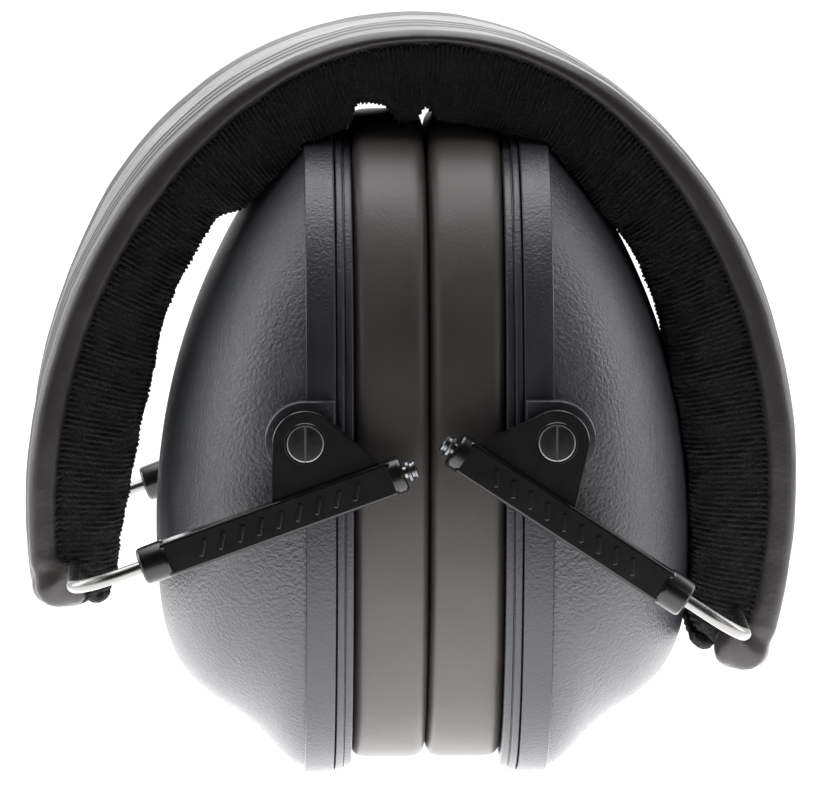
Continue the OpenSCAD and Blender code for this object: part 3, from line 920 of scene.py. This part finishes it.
def build_damping_foam(side):
    """The foam lining of a cup, a dished pad with a soft, uneven face."""
    steps = 110
    rings = []
    for t in np.linspace(0, 1, 20):
        wall = 4.6
        d = 18.6 + (DOME_DEPTH - 5.2 - 18.6) * math.sin(t * math.pi / 2)
        low, high, half = dome_slice(d, wall)
        shrink = max(1 - t ** 6, 0.02)
        mid = (low + high) / 2
        rings.append(oval_ring(side, d, (high - low - 3) * shrink, (2 * half - 3) * shrink, mid, steps))
    front = []
    for t in np.linspace(1, 0, 18):
        d = 18.6 + 10.5 * math.sin(t * math.pi / 2)
        low, high, half = dome_slice(max(d, DOME_START), 11.0)
        shrink = max(1 - t ** 6, 0.02)
        mid = (low + high) / 2
        front.append(oval_ring(side, d, (high - low - 4) * shrink, (2 * half - 3) * shrink, mid, steps))
    rings = np.array(rings + front)
    rough = 0.35 * bent_noise(rings, 5.0, 4.4) + 0.15 * bent_noise(rings, 1.4, 2.6)
    rings[..., 0] += SIDES[side] * rough
    piece = mesh_piece(f"{side}_damping_pad", *closed_tube(rings), MATERIALS["damping"], f"{side}_cup",
                       "damping_foam")
    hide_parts(f"{side}_damping_foam")
    return piece


# ---------------------------------------------------------------- wires, arms and pins
def arm_frame(side):
    """(hinge, direction along the arm, direction across it) in the row frame."""
    hinge = mm(JOINTS[f"{side}_fold"]["pos_m"])
    along = -np.array(JOINTS[f"{side}_slide"]["axis"], float)
    up = np.array([0, 0, 1.0]) - along * along[2]
    return hinge, along, up / np.linalg.norm(up)


def arm_place(side, front, shift=0.0):
    """Maps (u, v, y) of an arm to the row frame, for the front (-1) or rear (1) one."""
    hinge, along, up = arm_frame(side)
    return lambda u, v, y: hinge + along * (u + shift) + up * v + np.array([0, front * y, 0])


def arm_shift(side):
    """How far the arms are set along the wire so that their pivot meets the cup's."""
    hinge, along, _ = arm_frame(side)
    return float((mm(JOINTS[f"{side}_cup_turn"]["pos_m"]) - hinge) @ along) - PIVOT_U


def lathe(place, profile, steps=48):
    """A turned solid about the wire's leg, through (along, radius) points."""
    rows = []
    for u, r in profile:
        rows.append([place(u, b, LEG_Y + a) for a, b in circle_points(steps, max(r, 0.005))])
    return closed_loft(rows)


def build_wire(side):
    """The bent wire: the hinge's base, two bends and two legs, as one smooth tube."""
    hinge, along, up = arm_frame(side)
    path = [np.array([ARM_END + 0.3, -LEG_Y])]
    for u in np.linspace(ARM_END - 2, WIRE_BEND + 0.5, 14):
        path.append(np.array([u, -LEG_Y]))
    for a in np.linspace(0, 90, 15):
        path.append(np.array([WIRE_BEND - WIRE_BEND * math.sin(math.radians(a)),
                              -LEG_Y + WIRE_BEND - WIRE_BEND * math.cos(math.radians(a))]))
    middle = [np.array([0.0, y]) for y in np.linspace(-LEG_Y + WIRE_BEND + 1.5, 0, 8)]
    front = path + middle
    rear = [np.array([p[0], -p[1]]) for p in front[:-1]][::-1]
    line = np.array(front + rear)
    tangent = np.gradient(line, axis=0)
    tangent /= np.linalg.norm(tangent, axis=1, keepdims=True)
    rows = []
    for p, t in zip(line, tangent):
        side_way = np.array([-t[1], t[0]])
        ring = []
        for a, b in circle_points(32, WIRE_R):
            q = p + side_way * a
            ring.append(hinge + along * q[0] + up * b + np.array([0, q[1], 0]))
        rows.append(ring)
    verts, faces = closed_loft(rows)
    piece = mesh_piece(f"{side}_bent_wire", verts, faces, MATERIALS["wire"], f"{side}_wire_yoke", "bright_wire")
    sharpen(piece, 50)
    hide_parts(f"{side}_wire")
    return piece


def build_stops(side):
    """The stepped ends of the wire's two legs."""
    start = ARM_END + 0.32
    profile = [(start, 0.9), (start, 1.65), (start + 0.12, 1.75), (start + 0.5, 1.75), (start + 0.62, 1.6),
               (start + 0.66, 1.3), (start + 1.05, 1.25), (start + 1.12, 1.42), (start + 1.42, 1.42),
               (start + 1.55, 1.25), (start + 1.56, 0.5), (start + 1.4, 0.3)]
    parts = [lathe(arm_place(side, front), profile) for front in (-1, 1)]
    piece = mesh_piece(f"{side}_wire_end_stops", *join_parts(parts), MATERIALS["stop"], f"{side}_wire_yoke",
                       "dark_steel")
    sharpen(piece, 35)
    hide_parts(f"{side}_wire_stops")
    return piece


def rounded_box(place, u, v, y, r):
    """A box between pairs of u, v and y, with edges rounded by r."""
    rows = []
    cuts = [(0.0, r), (0.3 * r, 0.3 * r), (r, 0.0)]
    levels = [(y[0] + a, b) for a, b in cuts] + [(y[1] - a, b) for a, b in cuts[::-1]]
    for level, inset in levels:
        ring = []
        for cu, cv, start in ((u[1], v[1], 0), (u[0], v[1], 90), (u[0], v[0], 180), (u[1], v[0], 270)):
            su = -1 if cu == u[1] else 1
            sv = -1 if cv == v[1] else 1
            mu, mv = cu + su * (inset + r), cv + sv * (inset + r)
            for t in (0, 30, 60, 90):
                a = math.radians(start + t)
                ring.append(place(mu + r * math.cos(a), mv + r * math.sin(a), level))
        rows.append(ring)
    return closed_loft(rows)


def web_shape(angle):
    """Radius of the arm's triangular web about its pivot."""
    c, s = math.cos(angle), math.sin(angle)
    best = 60.0
    base = [np.array([-8.9, -PIVOT_V]), np.array([11.1, -PIVOT_V])]
    ray = np.array([c, s])
    tangents = []
    for p, turn in ((base[0], -1), (base[1], 1)):
        a = math.atan2(p[1], p[0]) + turn * math.acos(APEX_R / np.linalg.norm(p))
        tangents.append((np.array([math.cos(a), math.sin(a)]) * APEX_R, np.array([math.cos(a), math.sin(a)])))
    if s < 0:
        best = min(best, PIVOT_V / max(-s, 1e-6))
    for touch, outward in tangents:
        facing = float(ray @ outward)
        if facing > 1e-6:
            best = min(best, APEX_R / facing)
    left, right = tangents[0][1], tangents[1][1]
    top = math.atan2(left[1], left[0]) % (2 * math.pi), math.atan2(right[1], right[0]) % (2 * math.pi)
    turn = angle % (2 * math.pi)
    if top[1] <= turn <= top[0]:
        best = APEX_R
    return best


def build_arm(side, end):
    """A slider arm: the chamfered bar, two collars, the web with its pin hole, and slanted grip ribs."""
    front = -1 if end == "front" else 1
    place = arm_place(side, front, arm_shift(side))
    out, back = LEG_Y + ARM_DEPTH / 2, WEB_IN_Y
    half = ARM_HEIGHT / 2
    parts = [rounded_box(place, (WIRE_OUT + 3.6, ARM_END - 1.6), (-half, half), (back, out), 0.42)]
    collar = 2.9
    outer = [(0, 1.12), (0, collar - 0.7), (0.12, collar - 0.3), (0.4, collar - 0.06), (0.8, collar),
             (4.0, collar + 0.1), (4.35, collar), (4.5, collar - 0.3), (4.5, 1.2)]
    inner = [(2.2, 1.2), (2.2, collar - 0.3), (2.05, collar), (0.5, collar), (0.2, collar - 0.12),
             (0, collar - 0.5), (0, 1.12), (0.4, 1.08)]
    parts.append(lathe(place, [(WIRE_OUT + u, r) for u, r in outer], 64))
    parts.append(lathe(place, [(ARM_END - u, r) for u, r in inner], 64))
    steps = 144
    outline = star_outline(web_shape, steps)
    rows = ((outline, WEB_IN_Y), (outline, WEB_OUT_Y - 0.22), (outline - 0.08, WEB_OUT_Y - 0.06),
            (outline - 0.26, WEB_OUT_Y), (3.22, WEB_OUT_Y), (3.1, WEB_OUT_Y + 0.14), (3.0, WEB_OUT_Y + 0.14),
            (2.95, WEB_OUT_Y - 0.02), (2.95, WEB_OUT_Y - 1.2), (2.05, WEB_OUT_Y - 1.2), (2.05, WEB_IN_Y))
    parts.append(closed_tube(polar_rows((PIVOT_U, PIVOT_V), rows, steps, place)))
    parts += grip_ribs(place, out)
    piece = mesh_piece(f"{side}_{end}_slider_arm", *join_parts(parts), MATERIALS["arm"], f"{side}_arms",
                       "moulded_plastic")
    sharpen(piece, 14)
    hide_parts(f"{side}_{end}_arm")
    return piece


def grip_ribs(place, face):
    """Plain slanted ribs along the bar's face."""
    parts = []
    middle = WIRE_OUT + 4.5 + (ARM_LENGTH - 6.7) / 2
    for i in range(9):
        u = middle + (i - 4) * 3.1
        lean = math.radians(30)

        def slanted(a, b, y, u=u):
            return place(u + a * math.cos(lean) + b * math.sin(lean), -a * math.sin(lean) + b * math.cos(lean), y)

        parts.append(rounded_box(slanted, (-0.35, 0.35), (-1.4, 1.4), (face - 0.3, face + 0.3), 0.15))
    return parts


def build_pin(side, end):
    """A slotted pivot pin: two half-round faces with a slot between, over a shank."""
    front = -1 if end == "front" else 1
    pivot = mm(JOINTS[f"{side}_cup_turn"]["pos_m"])

    def place(x, z, y):
        return pivot + np.array([x, front * y, z])

    steps = 72
    face = WEB_OUT_Y + 0.18
    shank = ((1.9, 39.6), (2.0, 39.8), (2.0, 44.2), (2.6, 44.24), (2.85, 44.3), (2.85, face - 0.62),
             (0.01, face - 0.62))
    parts = [closed_loft(polar_rows((0, 0), shank, steps, place))]
    r, gap = 2.86, 0.05
    for way in (-1, 1):
        rows = []
        for inset, y in ((0.0, face - 0.7), (0.0, face - 0.14), (0.05, face - 0.04), (0.22, face)):
            edge, cut = r - inset, gap + 0.25 * inset
            limit = math.acos(cut / edge)
            ring = [(way * edge * math.cos(t), edge * math.sin(t)) for t in np.linspace(-limit, limit, 40)]
            ring += [(way * cut, z) for z in np.linspace(ring[-1][1], ring[0][1], 12)[1:-1]]
            rows.append([place(x, z, y) for x, z in ring])
        parts.append(closed_loft(rows))
    piece = mesh_piece(f"{side}_{end}_pivot_pin", *join_parts(parts), MATERIALS["pin"], f"{side}_cup", "pin_metal")
    # The face's chamfer ring and slot walls get the lighter steel: a painted highlight of the lit edge.
    piece.data.materials.append(MATERIALS["pin_edge_highlight"])
    for poly in piece.data.polygons:
        if abs(poly.normal.y) < 0.98 and abs(poly.center.y) / MM > face - 0.2:
            poly.material_index = 1
    sharpen(piece, 14)
    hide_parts(f"{side}_{end}_pin")
    return piece


# ---------------------------------------------------------------- carried-over CAD nodes
def finish_cad(name, mat):
    node = frame["nodes"][name]
    node.data.materials.clear()
    node.data.materials.append(mat)


# ---------------------------------------------------------------- camera, lights and floor
def build_stage():
    scene = bpy.context.scene
    floor_mesh = bpy.data.meshes.new("floor")
    size = 4.0
    floor_mesh.from_pydata([(-size, -size, 0), (size, -size, 0), (size, size, 0), (-size, size, 0)], [],
                           [(0, 1, 2, 3)])
    floor = add_object("floor", floor_mesh)
    floor.location.z = -0.0004
    floor_mesh.materials.append(floor_material())

    cam_data = bpy.data.cameras.new("camera")
    camera = add_object("camera", cam_data)
    distance, elevation, azimuth = 1.300, math.radians(7.5), math.radians(-1.5)
    target = Vector((-0.00047, 0, 0.0583))
    back = Vector((math.sin(azimuth) * math.cos(elevation), -math.cos(azimuth) * math.cos(elevation),
                   math.sin(elevation)))
    camera.location = target + back * distance
    camera.rotation_euler = (-back).to_track_quat("-Z", "Y").to_euler()
    image_width, pixels_per_m = 813, 6370
    cam_data.sensor_width = 36
    cam_data.lens = 36 * pixels_per_m * distance / image_width
    cam_data.clip_start = 0.05
    scene.camera = camera

    world = bpy.data.worlds.new("studio")
    scene.world = world
    world.use_nodes = True
    tree = world.node_tree
    background = tree.nodes["Background"]
    split = add_node(tree, "SeparateXYZ", {"Vector": add_node(tree, "TexCoord").outputs["Generated"]})
    shade = add_range(tree, split.outputs["Y"], -0.6, 0.95, 0.01, 3.2)
    away = add_node(tree, "Math", {0: split.outputs["X"]}, operation="ABSOLUTE").outputs["Value"]
    flag = add_node(tree, "ValToRGB", {"Fac": away})
    stops = flag.color_ramp.elements
    stops[0].position, stops[1].position = 0.2, 0.9
    stops[0].color = (1, 1, 1, 1)
    for at in (0.42, 0.66):
        stops.new(at).color = (0.36, 0.36, 0.36, 1)
    both = add_node(tree, "Math", {0: shade, 1: flag.outputs["Color"]}, operation="MULTIPLY").outputs["Value"]
    seen = add_node(tree, "LightPath").outputs["Is Camera Ray"]
    pick = add_node(tree, "Mix", {"Factor": seen, "A": both}, {"B": 1.3})
    tree.links.new(pick.outputs["Result"], background.inputs["Strength"])
    background.inputs["Color"].default_value = (1, 1, 1, 1)

    def area(name, place, aim, power, width, height):
        data = bpy.data.lights.new(name, "AREA")
        data.shape = "RECTANGLE"
        data.size, data.size_y = width, height
        data.energy = power
        lamp = add_object(name, data)
        lamp.location = place
        lamp.rotation_euler = (Vector(aim) - Vector(place)).to_track_quat("-Z", "Y").to_euler()

    aim = (0, 0, 0.06)
    area("top", (0, 0.1, 0.9), aim, 11, 1.0, 0.8)
    area("left_back", (-0.8, 0.30, 0.3), aim, 4.5, 0.5, 0.8)
    area("right_back", (0.8, 0.30, 0.3), aim, 4, 0.5, 0.8)
    area("front_left", (-0.95, -0.55, 0.35), aim, 1.2, 0.4, 0.7)
    area("front_right", (0.9, -0.75, 0.25), aim, 1.4, 0.4, 0.7)
    scene.view_settings.view_transform = "Standard"
    scene.view_settings.look = "None"


build_stage()
build_cover()
build_liner()
build_band_foam()
for side in SIDES:
    build_shell(side)
    build_plate(side)
    build_cushion(side)
    build_cushion_foam(side)
    build_damping_foam(side)
    build_wire(side)
    build_stops(side)
    for end in ("front", "rear"):
        build_arm(side, end)
        build_pin(side, end)
    finish_cad(f"{side}_hinge_block", MATERIALS["arm"])
    finish_cad(f"{side}_hinge_rivets", MATERIALS["strip"])
finish_cad("headband_spring", MATERIALS["strip"])
